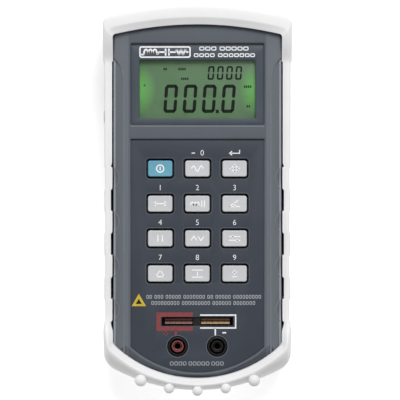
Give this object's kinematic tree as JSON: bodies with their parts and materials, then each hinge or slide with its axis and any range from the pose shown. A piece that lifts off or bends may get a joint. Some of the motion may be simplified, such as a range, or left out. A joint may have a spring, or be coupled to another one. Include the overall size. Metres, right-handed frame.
{
  "type": "lcr meter",
  "caption": "Handheld LCR meter with backlit LCD, rubber-dome keypad, component test slot and 4 mm sockets, in a pale rubber boot with a fold-out stand.",
  "frame": {"origin": "centre of the overall box at the boot's back, which is what the meter rests on when it lies face up", "axes": "+X to the right as the face is read, +Y along the meter towards the display end, +Z out of the face"},
  "size_m": [0.091, 0.188, 0.0525],
  "materials": {
    "boot_rubber": "matt off-white moulded rubber",
    "case_plastic": "fine-textured mid grey moulded plastic",
    "panel_plastic": "satin dark grey printed panel",
    "overlay_film": "satin dark grey printed film",
    "stand_plastic": "fine-textured grey moulded plastic",
    "lens_clear": "clear moulded window",
    "lcd_glass_green": "green backlit LCD with dark digits",
    "backlight_diffuser": "milky light guide",
    "led_resin": "pale resin",
    "key_grey": "light grey satin key caps",
    "key_blue": "light blue satin key cap",
    "black_plastic": "black moulded plastic",
    "red_plastic": "red moulded plastic",
    "black_rubber": "black rubber",
    "silicone_mat": "grey silicone",
    "board_laminate": "green glass-epoxy laminate with solder mask",
    "contact_copper": "dull copper-coloured spring strip",
    "contact_brass": "bright brass spring strip",
    "plated_steel": "zinc-plated steel",
    "fuse_glass": "glass tube with plated caps",
    "battery_can": "plain dark printed battery jacket",
    "label_film": "blank pale label film"
  },
  "bodies": {
    "meter": {"boot": "boot_rubber", "front_case": "case_plastic", "rear_case": "case_plastic", "battery_door": "case_plastic", "battery_door_screw": "plated_steel", "case_screw_1": "plated_steel", "case_screw_2": "plated_steel", "case_screw_3": "plated_steel", "case_screw_4": "plated_steel", "display_panel": "panel_plastic", "display_lens": "lens_clear", "lcd_frame": "black_plastic", "lcd_glass": "lcd_glass_green", "backlight_panel": "backlight_diffuser", "backlight_led_left": "led_resin", "backlight_led_right": "led_resin", "zebra_strip": "black_rubber", "keypad_overlay": "overlay_film", "keypad_mat": "silicone_mat", "main_board": "board_laminate", "slot_housing": "black_plastic", "contact_pos_upper": "contact_copper", "contact_pos_lower": "contact_copper", "contact_neg_upper": "contact_brass", "contact_neg_lower": "contact_brass", "jack_pos_shroud": "black_plastic", "jack_neg_shroud": "black_plastic", "jack_pos_sleeve": "red_plastic", "jack_neg_sleeve": "black_plastic", "jack_pos_contact": "contact_brass", "jack_neg_contact": "contact_brass", "dc_jack_body": "black_plastic", "dc_jack_pin": "plated_steel", "battery_9v": "battery_can", "battery_snap": "black_rubber", "battery_lead_red": "red_plastic", "battery_lead_black": "black_plastic", "fuse": "fuse_glass", "fuse_clip_left": "plated_steel", "fuse_clip_right": "plated_steel", "buzzer": "black_plastic", "processor_chip": "black_plastic", "analog_chip": "black_plastic", "crystal_can": "plated_steel", "board_screw_1": "plated_steel", "board_screw_2": "plated_steel", "rear_label": "label_film"},
    "tilt_stand": {"tilt_stand": "stand_plastic"},
    "key_power": {"key_power": "key_blue"},
    "key_freq": {"key_freq": "key_grey"},
    "key_cal": {"key_cal": "key_grey"},
    "key_range": {"key_range": "key_grey"},
    "key_lcr": {"key_lcr": "key_grey"},
    "key_dqr": {"key_dqr": "key_grey"},
    "key_hold": {"key_hold": "key_grey"},
    "key_minmax": {"key_minmax": "key_grey"},
    "key_set": {"key_set": "key_grey"},
    "key_rel": {"key_rel": "key_grey"},
    "key_limits": {"key_limits": "key_grey"},
    "key_tol": {"key_tol": "key_grey"}
  },
  "joints": [
    {"name": "key_power_press", "type": "slide", "parent": "meter", "child": "key_power", "axis": [0, 0, -1], "range_m": [0, 0.001], "stiffness_N_per_m": 800},
    {"name": "key_freq_press", "type": "slide", "parent": "meter", "child": "key_freq", "axis": [0, 0, -1], "range_m": [0, 0.001], "stiffness_N_per_m": 800},
    {"name": "key_cal_press", "type": "slide", "parent": "meter", "child": "key_cal", "axis": [0, 0, -1], "range_m": [0, 0.001], "stiffness_N_per_m": 800},
    {"name": "key_range_press", "type": "slide", "parent": "meter", "child": "key_range", "axis": [0, 0, -1], "range_m": [0, 0.001], "stiffness_N_per_m": 800},
    {"name": "key_lcr_press", "type": "slide", "parent": "meter", "child": "key_lcr", "axis": [0, 0, -1], "range_m": [0, 0.001], "stiffness_N_per_m": 800},
    {"name": "key_dqr_press", "type": "slide", "parent": "meter", "child": "key_dqr", "axis": [0, 0, -1], "range_m": [0, 0.001], "stiffness_N_per_m": 800},
    {"name": "key_hold_press", "type": "slide", "parent": "meter", "child": "key_hold", "axis": [0, 0, -1], "range_m": [0, 0.001], "stiffness_N_per_m": 800},
    {"name": "key_minmax_press", "type": "slide", "parent": "meter", "child": "key_minmax", "axis": [0, 0, -1], "range_m": [0, 0.001], "stiffness_N_per_m": 800},
    {"name": "key_set_press", "type": "slide", "parent": "meter", "child": "key_set", "axis": [0, 0, -1], "range_m": [0, 0.001], "stiffness_N_per_m": 800},
    {"name": "key_rel_press", "type": "slide", "parent": "meter", "child": "key_rel", "axis": [0, 0, -1], "range_m": [0, 0.001], "stiffness_N_per_m": 800},
    {"name": "key_limits_press", "type": "slide", "parent": "meter", "child": "key_limits", "axis": [0, 0, -1], "range_m": [0, 0.001], "stiffness_N_per_m": 800},
    {"name": "key_tol_press", "type": "slide", "parent": "meter", "child": "key_tol", "axis": [0, 0, -1], "range_m": [0, 0.001], "stiffness_N_per_m": 800},
    {"name": "tilt_stand_hinge", "type": "hinge", "parent": "meter", "child": "tilt_stand", "pos_m": [0, 0.0265, 0.0048], "axis": [1, 0, 0], "range_deg": [0, 65]}
  ]
}
